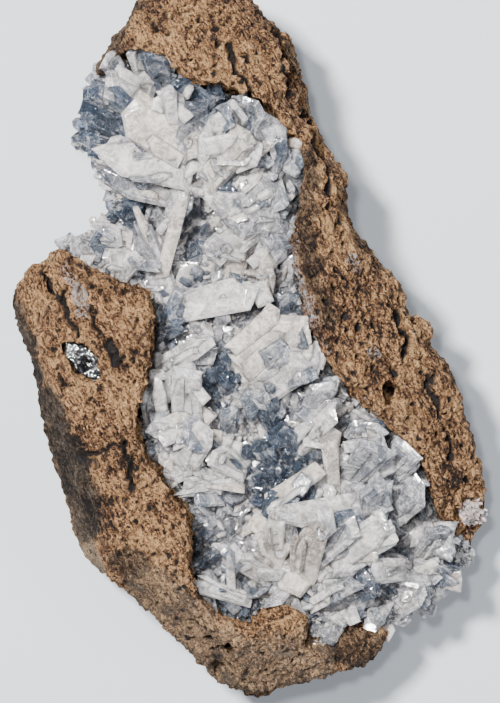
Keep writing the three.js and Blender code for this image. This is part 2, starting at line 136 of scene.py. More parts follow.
MAIN_CRYSTALS = tuple(itertools.starmap(Blade, (
    # The dome of plates at the narrow end
    ((-40, 95, 63), (-59, 103, 75), 14, 6, 12, Tone.WHITE),
    ((-25, 73, 66), (-52, 91, 75), 16, 6, -14, Tone.CREAM),
    ((-31, 82, 64), (-32, 100, 78), 10, 6, 22, Tone.WHITE),
    ((-35, 99, 56), (-41, 115, 71), 11, 6, -24, Tone.BLUE),
    ((-27, 90, 58), (-29, 104, 72), 10, 6, 28, Tone.SLATE),
    ((-20, 81, 60), (-24, 95, 75), 12, 6, -18, Tone.BLUE),
    ((-24, 67, 63), (-65, 78, 69), 18, 6, 12, Tone.WHITE),
    ((-28, 58, 56), (-60, 67, 62), 14, 6, -12, Tone.PALE),
    ((-52, 84, 50), (-70, 93, 59), 12, 7, 30, Tone.SLATE),
    ((-52, 79, 50), (-71, 82, 56), 10, 6, -32, Tone.SLATE),
    ((-50, 92, 52), (-67, 101, 63), 10, 6, 14, Tone.BLUE),
    ((-47, 98, 42), (-59, 114, 66), 10, 6, 38, Tone.PALE),
    ((-13, 76, 58), (-16, 92, 75), 13, 6, 16, Tone.BLUE),
    ((-9, 80, 58), (-6, 94, 73), 10, 6, -22, Tone.WHITE),
    ((-23, 73, 66), (-12, 88, 80), 11, 5, -30, Tone.WHITE),
    ((-20, 63, 64), (-2, 83, 83), 14, 6, -22, Tone.CREAM),
    ((-16, 67, 66), (15, 40, 62), 26, 8, 10, Tone.PALE),
    ((-3, 71, 68), (7, 79, 80), 5, 4, 30, Tone.CREAM),
    ((12, 57, 56), (15, 77, 70), 16, 7, 26, Tone.ICE),
    ((4, 62, 60), (9, 81, 75), 11, 6, -22, Tone.BLUE),
    ((2, 76, 58), (6, 91, 72), 11, 6, 20, Tone.PALE),
    ((-4, 80, 56), (0, 95, 71), 11, 6, -12, Tone.PALE),
    ((2, 55, 60), (18, 37, 60), 21, 8, -20, Tone.ICE),
    ((-36, 105, 56), (-34, 117, 68), 11, 5, -20, Tone.BLUE),
    ((-44, 107, 54), (-47, 118, 64), 10, 5, 25, Tone.PALE),
    ((-28, 99, 56), (-24, 110, 70), 9, 5, 15, Tone.BLUE),
    ((-18, 92, 56), (-13, 103, 72), 9, 5, -20, Tone.SLATE),
    ((-8, 89, 56), (-4, 99, 70), 9, 5, 20, Tone.PALE),
    # Rods and small plates in the neck, and those that reach the left edge
    ((-37, 26, 52), (-27, 61, 71), 5.8, 6, 14, Tone.CREAM),
    ((-38, 30, 50), (-46, 55, 65), 4.5, 4, 30, Tone.CREAM),
    ((-34, 16, 46), (-47, 49, 60), 12, 4, -24, Tone.PALE),
    ((-3, 37, 58), (-20, 43, 67), 13, 4.5, 12, Tone.WHITE),
    ((-46, 31, 50), (-60, 35, 60), 10, 5, 16, Tone.WHITE),
    ((-54, 26, 52), (-45, 36, 62), 8, 4, -14, Tone.WHITE),
    ((-48, 41, 48), (-65, 46, 56), 10, 5, 20, Tone.WHITE),
    ((-60, 34, 46), (-75, 41, 52), 9, 5, -20, Tone.PALE),
    ((-46, 46, 48), (-54, 55, 58), 7, 4, 36, Tone.SLATE),
    ((-24, 48, 46), (-26, 63, 62), 9, 5, 12, Tone.BLUE),
    ((-27, 24, 36), (-23, 41, 50), 11, 6, 22, Tone.SLATE),
    ((-18, 22, 40), (-14, 37, 53), 9, 5, -22, Tone.PALE),
    ((5, 18, 50), (5, 38, 66), 7.5, 5, 18, Tone.CREAM),
    ((12, 18, 46), (14, 36, 60), 6, 5, -30, Tone.PALE),
    ((-36, 13, 50), (3, 22, 63), 15, 6, -14, Tone.WHITE),
    ((8, 8, 42), (14, 22, 54), 12, 6, 12, Tone.BLUE),
    ((-2, 8, 40), (-4, 21, 52), 9, 5, -10, Tone.BLUE),
    # The broad slabs and standing blades of the middle
    ((-8, -11, 56), (20, 13, 69), 22, 8, -12, Tone.CREAM),
    ((-2, -22, 54), (24, 0, 68), 17, 7, 20, Tone.WHITE),
    ((-40, -10, 52), (-15, 3, 67), 9, 5, -22, Tone.WHITE),
    ((-40, 1, 50), (-29, 8, 61), 7, 4, 30, Tone.BLUE),
    ((-14, -18, 38), (-15, -4, 53), 15, 7, 10, Tone.SLATE),
    ((-26, -38, 52), (-27, -7, 71), 13, 6, 16, Tone.WHITE),
    ((-36, -33, 52), (-38, -11, 67), 6, 4, -26, Tone.WHITE),
    ((-40, -37, 48), (-44, -14, 61), 7, 4, 34, Tone.PALE),
    ((-19, -29, 56), (-40, -36, 67), 11, 5, 16, Tone.WHITE),
    ((-30, -49, 54), (-19, -29, 70), 15, 6, -20, Tone.WHITE),
    ((-40, -48, 46), (-31, -37, 58), 9, 5, 20, Tone.PALE),
    ((-3, -50, 52), (-18, -41, 65), 12, 5, 20, Tone.WHITE),
    ((-5, -52, 50), (-31, -57, 62), 9, 5, -22, Tone.WHITE),
    ((-11, -38, 48), (-9, -23, 63), 9, 5, 20, Tone.BLUE),
    ((-4, -32, 48), (6, -19, 62), 9, 5, -22, Tone.PALE),
    ((-11, -63, 42), (-13, -52, 54), 10, 5, 14, Tone.BLUE),
    ((10, -37, 46), (5, -21, 61), 9, 5, 30, Tone.SLATE),
    ((20, -32, 50), (29, -12, 67), 12, 6, 26, Tone.PALE),
    ((14, -43, 50), (33, -24, 67), 9, 5, -26, Tone.WHITE),
    ((31, -57, 50), (29, -36, 67), 7, 5, 16, Tone.CREAM),
    ((16, -48, 46), (10, -31, 59), 11, 6, -26, Tone.SLATE),
    ((26, -48, 58), (2, -64, 64), 9, 5, 34, Tone.CREAM),
    ((40, -62, 54), (4, -69, 66), 11, 5, -16, Tone.WHITE),
    ((36, -56, 44), (49, -38, 67), 15, 6, 12, Tone.ICE),
    ((37, -38, 50), (48, -30, 63), 13, 6, 22, Tone.ICE),
    ((53, -50, 48), (61, -39, 61), 14, 6, -14, Tone.ICE),
    ((55, -69, 44), (67, -55, 59), 12, 6, -22, Tone.PALE),
    ((46, -69, 48), (48, -53, 62), 14, 6, 16, Tone.ICE),
    # The spray at the wide end, and the crystals that reach the lower right edge
    ((15, -91, 48), (0, -75, 66), 6, 4, 22, Tone.HONEY),
    ((19, -96, 48), (25, -67, 73), 10, 5, -16, Tone.HONEY),
    ((16, -94, 48), (17, -71, 70), 7, 4, 36, Tone.HONEY),
    ((11, -63, 52), (8, -75, 64), 10, 5, 12, Tone.PALE),
    ((6, -92, 48), (-11, -81, 63), 10, 5, -20, Tone.WHITE),
    ((-9, -101, 50), (-10, -81, 65), 4, 3.5, 10, Tone.WHITE),
    ((-1, -101, 50), (-26, -93, 61), 7, 4.5, 16, Tone.WHITE),
    ((-20, -94, 48), (-17, -110, 58), 7, 5, -20, Tone.PALE),
    ((16, -91, 50), (-1, -90, 62), 6, 4, -30, Tone.WHITE),
    ((15, -94, 46), (4, -105, 58), 6, 4, 20, Tone.PALE),
    ((-13, -88, 42), (-21, -83, 54), 11, 5, -14, Tone.BLUE),
    ((20, -93, 48), (55, -69, 67), 16, 5, 14, Tone.WHITE),
    ((18, -90, 50), (41, -67, 69), 11, 5, -18, Tone.PALE),
    ((22, -98, 46), (41, -86, 61), 8, 4, 22, Tone.PALE),
    ((21, -104, 46), (43, -91, 62), 7, 5, -12, Tone.PALE),
    ((40, -83, 48), (49, -99, 55), 15, 6, 12, Tone.BLUE),
    ((60, -89, 46), (44, -89, 59), 11, 5, -12, Tone.WHITE),
    ((65, -85, 40), (75, -71, 52), 10, 6, 24, Tone.PALE),
    ((39, -109, 40), (27, -117, 53), 9, 5, -20, Tone.PALE),
    ((34, -98, 36), (39, -111, 54), 8, 5, 26, Tone.WHITE),
    ((57, -97, 38), (71, -101, 46), 10, 6, -16, Tone.BLUE),
    ((52, -101, 40), (44, -113, 50), 9, 5, 20, Tone.PALE),
    ((66, -92, 38), (82, -91, 46), 11, 6, 14, Tone.BLUE),
)))

TONE_ZONES = tuple(itertools.starmap(ToneZone, (
    ((10, 58), (9, 24), Tone.ICE),
    ((-62, 88), (11, 14), Tone.SLATE),
    ((-35, 105), (9, 8), Tone.BLUE),
    ((-21, 93), (10, 7), Tone.BLUE),
    ((-51, 50), (8, 8), Tone.SLATE),
    ((-23, 39), (7, 13), Tone.BLUE),
    ((6, 13), (15, 7), Tone.BLUE),
    ((-38, 6), (8, 9), Tone.BLUE),
    ((-14, -12), (9, 10), Tone.SLATE),
    ((18, -20), (14, 11), Tone.ICE),
    ((8, -47), (15, 14), Tone.SLATE),
    ((-17, -67), (14, 11), Tone.ICE),
    ((51, -57), (17, 24), Tone.ICE),
    ((45, -93), (12, 10), Tone.BLUE),
    ((-12, -104), (15, 8), Tone.BLUE),
    ((63, -101), (21, 9), Tone.PALE),
    ((65, -75), (9, 10), Tone.WHITE),
    ((14, -85), (12, 12), Tone.HONEY),
)))
LOOSE_TONES = (Tone.WHITE, Tone.PALE, Tone.WHITE, Tone.BLUE, Tone.PALE, Tone.CREAM)

# Middles of the groups that the small crystals fan out from
CLUSTERS = ((-26.0, 70.0), (-30.0, 28.0), (-6.0, -8.0), (22.0, -50.0), (14.0, -92.0))

ROCK_MARKS = tuple(itertools.starmap(Mark, (
    # The side face of the left shoulder, which ends in a sharp arris
    (Layer.GREY, ((-106, 18), (-101, 8), (-97, -7), (-95, -15), (-90, -23), (-85, -30),
                  (-81, -41), (-76, -47), (-73, -58), (-71, -68)), 12.5, -0.5),
    # Lower rock, dark lumps, the ridge beside the crystals and the narrow end's edge
    (Layer.GREY, ((-46, -100), (-32, -112), (-18, -124), (0, -132), (14, -135)), 11, 0, 0.3),
    (Layer.PALE, ((-40, -98), (-26, -112), (-12, -122), (4, -126), (20, -124)), 12, 0, 0.45),
    (Layer.GREY, ((-52, -84), (-45, -85)), 5, 0, 0.8),
    (Layer.GREY, ((36, -118), (46, -122)), 8, 0, 0.7),
    (Layer.GREY, ((21, 72), (20, 55), (19, 42), (23, 24), (28, 10)), 4, 0, 0.75),
    (Layer.GREY, ((-50, 134), (-57, 122), (-62, 108)), 6, 0, 0.8),
    (Layer.PALE, ((-80, -66), (-74, -76), (-65, -88)), 7, 0, 0.9),
    # Crusts of fine grey and white grains
    (Layer.CRUST, ((15, 42), (16, 28), (20, 14), (28, -2)), 2.0, 0, 0.8),
    (Layer.CRUST, ((40, -22), (56, -36)), 1.6, 0, 0.8),
    (Layer.CRUST, ((-73, 28), (-69, 21), (-66, 13)), 3.6, 0.4, 0.75),
    (Layer.CRUST, ((37, 33), (39, 29)), 2.6, 0.6, 0.85),
    (Layer.CRUST, ((45, -3), (47, -6)), 2.0, 0.5, 0.8),
    (Layer.CRUST, ((84, -92), (70, -102), (56, -110)), 5, 0, 0.9),
    # Pores along the rims and in patches of the right flank, darkened with painted shade
    (Layer.POROUS, ((-60, 24), (-47, 20), (-44, 6), (-50, -8)), 7),
    (Layer.POROUS, ((30, 48), (27, 26), (37, 8), (46, -4), (52, -18)), 8),
    (Layer.POROUS, ((60, -4), (66, -20), (74, -36), (80, -56)), 7),
    (Layer.POROUS, ((-36, 130), (-12, 124), (4, 112)), 9),
    (Layer.POROUS, ((-20, -120), (-8, -126)), 7),
    # Cracks, seams and holes, carved and darkened with painted shade
    (Layer.CARVED, ((-12, 117), (-8, 108), (-2, 97)), 1.1, -2.6),
    (Layer.CARVED, ((9, 124), (12, 110), (14, 98), (21, 88), (27, 73)), 1.4, -4.5),
    (Layer.CARVED, ((27, 73), (29, 62), (32, 50)), 1.2, -3.4),
    (Layer.CARVED, ((52, 20), (56, 11), (60, -1)), 1.1, -3.0),
    (Layer.CARVED, ((-84, 29), (-80, 22), (-76, 16)), 1.8, -3.4),
    (Layer.CARVED, ((-75, 20), (-72, 12), (-69, 5)), 1.1, -2.6),
    (Layer.CARVED, ((-64, 13), (-61, 5)), 0.9, -2.4),
    (Layer.CARVED, ((-56, 1), (-53, -8)), 1.5, -3.0),
    (Layer.CARVED, ((-51, -40), (-49, -48), (-48, -55)), 1.3, -3.8),
    (Layer.CARVED, ((-67, -44), (-60, -42), (-54, -39)), 0.9, -1.8),
    (Layer.CARVED, ((-76, -14), (-74, -16)), 1.6, -3.0),
    (Layer.CARVED, ((68, -12), (73, -28), (79, -44)), 1.2, -2.6),
)))


def smoothstep(value: np.ndarray, low: float, high: float) -> np.ndarray:
    """Rise smoothly from 0 to 1 as the value goes from low to high."""
    share = np.clip((value - low) / (high - low), 0.0, 1.0)
    return share * share * (3.0 - 2.0 * share)


def lattice_random(cells: np.ndarray, seed: int) -> np.ndarray:
    """Give each whole-number lattice point a repeatable number.

    Args:
        cells: Lattice points, one per row.
        seed: Which of the many sets of numbers to give.

    Returns:
        One number from 0 to 1 per row.
    """
    mixed = np.bitwise_xor.reduce(cells * LATTICE_FACTORS, axis=1)
    mixed = (mixed ^ seed * SEED_FACTOR) & WORD
    for shift, factor in MIXING:
        mixed = ((mixed ^ (mixed >> shift)) * factor) & WORD
    return (mixed ^ (mixed >> 16)) / (WORD + 1)


def swell(points: np.ndarray, length: float, seed: int) -> np.ndarray:
    """Make smooth random relief.

    Args:
        points: Points in millimetres, one per row.
        length: Length of one bump.
        seed: Which relief to give.

    Returns:
        Relief of about -1 to 1 per point.
    """
    scaled = points / length
    cells = np.floor(scaled).astype(np.int64)
    local = scaled - cells
    fade = local * local * local * (local * (local * 6.0 - 15.0) + 10.0)
    relief = np.zeros(len(points))
    for corner in itertools.product((0, 1), repeat=3):
        step = np.array(corner)
        lean = [2.0 * lattice_random(cells + step, seed + axis) - 1.0 for axis in range(3)]
        weight = np.prod(np.where(step == 1, fade, 1.0 - fade), axis=1)
        relief += weight * np.sum(np.stack(lean, axis=1) * (local - step), axis=1)
    return 1.9 * relief


def pits(points: np.ndarray, spacing: float, seed: int) -> np.ndarray:
    """Find how deep each point lies in a field of scattered round pits.

    Args:
        points: Points in millimetres, one per row.
        spacing: Usual distance between two pits.
        seed: Which field to give.

    Returns:
        Depth per point, from 0 outside the pits to 1 in the middle of one.
    """
    scaled = points / spacing
    cells = np.floor(scaled).astype(np.int64)
    depth = np.zeros(len(points))
    for corner in itertools.product((-1, 0, 1), repeat=3):
        near = cells + np.array(corner)
        middle = near + np.stack([lattice_random(near, seed + axis) for axis in range(3)], axis=1)
        reach = 0.16 + 0.34 * lattice_random(near, seed + 7) ** 2
        distance = np.linalg.norm(scaled - middle, axis=1)
        depth = np.maximum(depth, smoothstep(1.0 - distance / reach, 0.0, 0.55))
    return depth


def path_distance(points: np.ndarray, path: Sequence[Place]) -> np.ndarray:
    """Measure how far points are from a line of straight pieces, seen from above."""
    flat = points[:, :2]
    nearest = np.full(len(points), np.inf)
    for start, end in itertools.pairwise(np.array(path, float)):
        run = end - start
        share = np.clip((flat - start) @ run / (run @ run), 0.0, 1.0)
        nearest = np.minimum(nearest, np.linalg.norm(flat - start - share[:, None] * run, axis=1))
    return nearest


@dataclass
class Shading:
    """One material, and the short calls that its nodes are laid with."""

    name: str
    material: bpy.types.Material = field(init=False)
    output: bpy.types.Node = field(init=False)

    def __post_init__(self) -> None:
        """Start the material with no nodes but its output."""
        self.material = bpy.data.materials.new(self.name)
        self.material.use_nodes = True
        self.material.node_tree.nodes.clear()
        self.output = self.material.node_tree.nodes.new("ShaderNodeOutputMaterial")

    def add(self, kind: str, feeds: dict[str | int, Feed], **settings: object) -> bpy.types.Node:
        """Add a node.

        Args:
            kind: Node type, without its usual first letters.
            feeds: What goes into each input, a fixed value or another node's output.
            **settings: Properties of the node itself.

        Returns:
            The new node.
        """
        node = self.material.node_tree.nodes.new("ShaderNode" + kind)
        for key, value in settings.items():
            setattr(node, key, value)
        for key, value in feeds.items():
            if isinstance(value, bpy.types.NodeSocket):
                self.material.node_tree.links.new(value, node.inputs[key])
            else:
                node.inputs[key].default_value = value
        return node

    def math(self, operation: str, first: Feed, second: Feed = 0.0,
             third: Feed = 0.0) -> bpy.types.NodeSocket:
        """Combine two or three numbers, kept from 0 to 1."""
        feeds = {0: first, 1: second, 2: third}
        return self.add("Math", feeds, operation=operation, use_clamp=True).outputs[0]

    def ramp(self, value: Feed, low: float, high: float, start: float = 0.0,
             end: float = 1.0) -> bpy.types.NodeSocket:
        """Turn a value between low and high smoothly into one between start and end."""
        feeds = {"Value": value, "From Min": low, "From Max": high, "To Min": start, "To Max": end}
        return self.add("MapRange", feeds, interpolation_type="SMOOTHSTEP").outputs[0]

    def mix(self, share: Feed, first: Feed, second: Feed,
            blend: str = "MIX") -> bpy.types.NodeSocket:
        """Mix two colours."""
        node = self.add("Mix", {0: share, 6: first, 7: second}, data_type="RGBA", blend_type=blend)
        return node.outputs[2]

    def stops(self, value: Feed,
              colours: Sequence[tuple[float, Spot]]) -> bpy.types.NodeSocket:
        """Turn a value into one of several colours, softly from each to the next."""
        node = self.add("ValToRGB", {"Fac": value})
        while len(node.color_ramp.elements) < len(colours):
            node.color_ramp.elements.new(1.0)
        for element, (place, colour) in zip(node.color_ramp.elements, colours):
            element.position = place
            element.color = (*colour, 1.0)
        return node.outputs[0]

    def noise(self, where: Feed, scale: float, detail: float = 3.0, rough: float = 0.6,
              warp: float = 0.0) -> bpy.types.NodeSocket:
        """Lay a cloudy pattern of the given scale per metre."""
        feeds = {"Vector": where, "Scale": scale, "Detail": detail, "Roughness": rough,
                 "Distortion": warp}
        return self.add("TexNoise", feeds).outputs[0]

    def cells(self, where: Feed, scale: float) -> bpy.types.NodeSocket:
        """Lay the distance to the nearest of scattered points."""
        return self.add("TexVoronoi", {"Vector": where, "Scale": scale}).outputs[0]

    def channels(self, attribute: str) -> list[bpy.types.NodeSocket]:
        """Read a colour attribute as three numbers and its alpha."""
        node = self.add("Attribute", {}, attribute_name=attribute)
        parts = self.add("SeparateColor", {0: node.outputs["Color"]})
        return [*parts.outputs, node.outputs["Alpha"]]

    def streaming(self, where: Feed, turn: float, stretch: float) -> bpy.types.NodeSocket:
        """Turn space about the vertical and stretch it one way, to draw patterns into streaks."""
        feeds = {"Vector": where, "Rotation": (0, 0, turn), "Scale": (1.0, stretch, 1.0)}
        return self.add("Mapping", feeds, vector_type="TEXTURE").outputs[0]

    def finish(self, shader: bpy.types.Node,
               volume: bpy.types.Node | None = None) -> bpy.types.Material:
        """Feed the output and give the finished material."""
        links = self.material.node_tree.links
        links.new(shader.outputs[0], self.output.inputs["Surface"])
        if volume is not None:
            links.new(volume.outputs[0], self.output.inputs["Volume"])
        return self.material

    def bump(self, height: Feed, distance: float, strength: float,
             under: bpy.types.NodeSocket | None = None) -> bpy.types.NodeSocket:
        """Tilt the surface by a height pattern, on top of another bump if one is given."""
        feeds = {"Height": height, "Distance": distance, "Strength": strength}
        if under is not None:
            feeds["Normal"] = under
        return self.add("Bump", feeds).outputs[0]


@dataclass(frozen=True)
class RockFinish:
    """Pale brown dolostone: porous grains, streaks and stains, with painted shade in its pits,
    pores and cracks.
    """

    light: Spot = (0.90, 0.56, 0.28)
    tan: Spot = (0.54, 0.29, 0.138)
    brown: Spot = (0.20, 0.098, 0.055)
    # Near-black: the darkest grains, and the painted shade in pits, pores and cracks
    dark: Spot = (0.010, 0.008, 0.008)
    grey: Spot = (0.058, 0.044, 0.035)
    ash: Spot = (0.20, 0.16, 0.125)
    pale: Spot = (0.46, 0.37, 0.28)
    crust: Spot = (0.15, 0.155, 0.18)
    glint: Spot = (0.62, 0.62, 0.66)
    streak_turn: float = math.radians(27.0)
    streak_stretch: float = 3.4
    relief_depth: float = 0.0022
    grit_depth: float = 0.0004

    def build(self) -> bpy.types.Material:
        """Make the material from the skin's colour attribute and patterns in space."""
        sheet = Shading("brown_dolostone")
        # The skin's fourth channel, pit, is painted shade in pits, pores, cracks and sunk spots
        grey, pale, crust, pit = sheet.channels("skin")
        where = sheet.add("TexCoord", {}).outputs["Object"]
        along = sheet.streaming(where, self.streak_turn, self.streak_stretch)
        patches = sheet.ramp(sheet.noise(where, 60, 4), 0.36, 0.64)
        clusters = sheet.ramp(sheet.noise(where, 110, 4, 0.65), 0.5, 0.64)
        streaks = sheet.ramp(sheet.noise(along, 900, 4, 0.7, 0.6), 0.40, 0.60)
        grains = sheet.ramp(sheet.noise(where, 1250, 3, 0.7), 0.40, 0.62)
        fine = sheet.ramp(sheet.noise(where, 2600, 2, 0.6), 0.4, 0.6)
        holes = sheet.ramp(sheet.noise(where, 420, 3, 0.6), 0.60, 0.66)
        specks = sheet.ramp(sheet.cells(where, 620), 0.16, 0.26, 1.0, 0.0)

        # How light the stone is: most patterns add a share, and clusters of pores take one away as
        # painted shade of the pores
        level = sheet.math("MULTIPLY_ADD", patches, 0.22, sheet.math("MULTIPLY", grains, 0.26))
        level = sheet.math("MULTIPLY_ADD", streaks, 0.40, level)
        level = sheet.math("MULTIPLY_ADD", fine, 0.12, level)
        level = sheet.math("MULTIPLY_ADD", clusters, -0.22, level)

        colour = sheet.stops(level, ((0.18, self.dark), (0.34, self.brown), (0.52, self.tan),
                                     (0.74, self.light)))
        colour = sheet.mix(sheet.math("MULTIPLY", pale, 0.75), colour, (*self.pale, 1))
        greyed = sheet.stops(level, ((0.25, self.dark), (0.5, self.grey), (0.8, self.ash)))
        colour = sheet.mix(sheet.math("MULTIPLY", grey, 0.94), colour, greyed)
        sugar = sheet.stops(level, ((0.25, self.dark), (0.45, self.crust), (0.7, self.glint)))
        sugared = sheet.ramp(sheet.math("MULTIPLY", crust, level), 0.34, 0.54)
        colour = sheet.mix(sugared, colour, sugar)
        # Painted shade: holes, and the pits, cracks and sunk spots of the skin, are mixed towards
        # near-black, together with small dark specks
        shadow = sheet.math("MAXIMUM", specks, holes)
        shadow = sheet.math("MAXIMUM", sheet.math("MULTIPLY", shadow, 0.94),
                            sheet.ramp(pit, 0.2, 0.62))
        colour = sheet.mix(shadow, colour, (*self.dark, 1))

        height = sheet.math("SUBTRACT", level, sheet.math("MULTIPLY", shadow, 0.8))
        relief = sheet.bump(height, self.relief_depth, 1.0)
        relief = sheet.bump(fine, self.grit_depth, 0.6, relief)
        shader = sheet.add("BsdfPrincipled", {
            "Base Color": colour, "Normal": relief, "IOR": 1.5,
            "Roughness": sheet.ramp(grains, 0.0, 1.0, 0.6, 0.9), "Specular IOR Level": 0.2,
        })
        return sheet.finish(shader)


@dataclass(frozen=True)
class CelestiteFinish:
    """Celestite, from white with veils inside to clear grey-blue.

    The milkiest and clearest spots differ in how see-through and how frosted they are.
    """

    name: str
    absorb: Spot
    density: float
    clearest: float
    milkiest: float
    gloss: float = 0.04
    frost: float = 0.2
    glow: float = 0.002
    index: float = 1.62
    scatter: float = 0.9
    blue: Spot = (0.22, 0.285, 0.39)
    grey: Spot = (0.44, 0.44, 0.47)
    white: Spot = (0.97, 0.94, 0.94)
    warm: Spot = (0.97, 0.89, 0.78)

    def build(self) -> bpy.types.Material:
        """Make the material from the crystals' tone attribute and veils in space."""
        sheet = Shading(self.name)
        milk, blue, warm, chance = sheet.channels("tone")
        where = sheet.add("TexCoord", {}).outputs["Object"]
        shift = sheet.add("CombineXYZ", {0: chance, 1: chance}).outputs[0]
        own = sheet.add("VectorMath", {0: where, 1: shift}, operation="ADD").outputs[0]
        clouds = sheet.ramp(sheet.noise(own, 150, 5, 0.65, 1.0), 0.40, 0.64)
        mottle = sheet.ramp(sheet.noise(own, 620, 3, 0.6), 0.42, 0.62)
        crack = sheet.noise(own, 75, 2, 0.45, 3.0)
        beyond = sheet.ramp(crack, 0.5, 0.53, 1.0, 0.0)
        veils = sheet.math("MULTIPLY", sheet.ramp(crack, 0.485, 0.5), beyond)
        haze = sheet.math("MULTIPLY_ADD", clouds, 0.5, sheet.math("MULTIPLY", mottle, 0.22))
        haze = sheet.math("MULTIPLY_ADD", veils, 0.5, haze)
        inside = sheet.math("MULTIPLY_ADD", milk, 0.55, sheet.math("MULTIPLY", haze, 0.45))

        colour = sheet.mix(blue, (*self.grey, 1), (*self.blue, 1))
        snow = sheet.math("MULTIPLY_ADD", milk, 0.5, sheet.math("MULTIPLY", haze, 0.5))
        snow = sheet.ramp(snow, 0.12, 0.9)
        colour = sheet.mix(snow, colour, (*self.white, 1))
        colour = sheet.mix(warm, colour, (*self.warm, 1), "MULTIPLY")
        grain = sheet.noise(own, 1400, 3, 0.6)
        steps = sheet.noise(own, 300, 2, 0.5, 1.5)
        chips = sheet.cells(own, 480)
        surface = sheet.bump(steps, 0.0006, 0.3, sheet.bump(grain, 0.0002, 0.12))
        surface = sheet.bump(chips, 0.0006, 0.12, surface)
        worn = sheet.math("MULTIPLY", sheet.ramp(steps, 0.5, 0.7), 0.1)
        rough = sheet.math("ADD", sheet.ramp(inside, 0.1, 1.1, self.gloss, self.frost), worn)
        shader = sheet.add("BsdfPrincipled", {
            "Base Color": colour, "Roughness": rough, "Normal": surface, "IOR": self.index,
            "Transmission Weight": sheet.ramp(inside, 0.0, 1.0, self.clearest, self.milkiest),
            "Subsurface Weight": self.scatter, "Subsurface Radius": (1.0, 1.0, 1.0),
            "Subsurface Scale": self.glow,
        })
        absorption = {"Color": (*self.absorb, 1), "Density": self.density}
        return sheet.finish(shader, sheet.add("VolumeAbsorption", absorption))


MILKY = CelestiteFinish("milky_celestite", (0.86, 0.89, 0.94), 30.0, 0.92, 0.25)
CLEAR = CelestiteFinish("clear_celestite", (0.62, 0.72, 0.84), 40.0, 0.92, 0.4, gloss=0.03)
# The pocket's crystals and the mass they grow on are near-black: their grey colour darkened as
# painted shade of the deep pocket
DUSKY = CelestiteFinish("dusky_crystals", (0.30, 0.31, 0.34), 120.0, 0.95, 0.3, gloss=0.03,
                        blue=(0.10, 0.11, 0.13), white=(0.62, 0.64, 0.68))
ROSY = CelestiteFinish("rosy_crystals", (0.92, 0.84, 0.84), 60.0, 0.6, 0.15,
                       white=(0.80, 0.70, 0.68), warm=(0.9, 0.72, 0.66))


def piece_from(name: str, mesh: bpy.types.Mesh, slot: str, *nodes: str) -> bpy.types.Object:
    """Put a mesh in the scene as a piece of the geode.

    Args:
        name: The piece's name.
        mesh: Its mesh, in place.
        slot: Name of a material slot; not used.
        *nodes: The nodes that it stands for.

    Returns:
        The new object.
    """
    piece = bpy.data.objects.new(name, mesh)
    bpy.context.scene.collection.objects.link(piece)
    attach(piece, "root")
    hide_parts(*nodes)
    return piece


def colour_attribute(mesh: bpy.types.Mesh, name: str, domain: str, values: np.ndarray) -> None:
    """Give a mesh a colour attribute of four numbers, for each point or each face corner."""
    attribute = mesh.color_attributes.new(name, "FLOAT_COLOR", domain)
    attribute.data.foreach_set("color", values.astype(np.float32).ravel())


def mesh_points(mesh: bpy.types.Mesh) -> np.ndarray:
    """Read a mesh's points, in millimetres, one per row."""
    flat = np.empty(len(mesh.vertices) * 3, np.float32)
    mesh.vertices.foreach_get("co", flat)
    return flat.reshape(-1, 3).astype(float) / MM


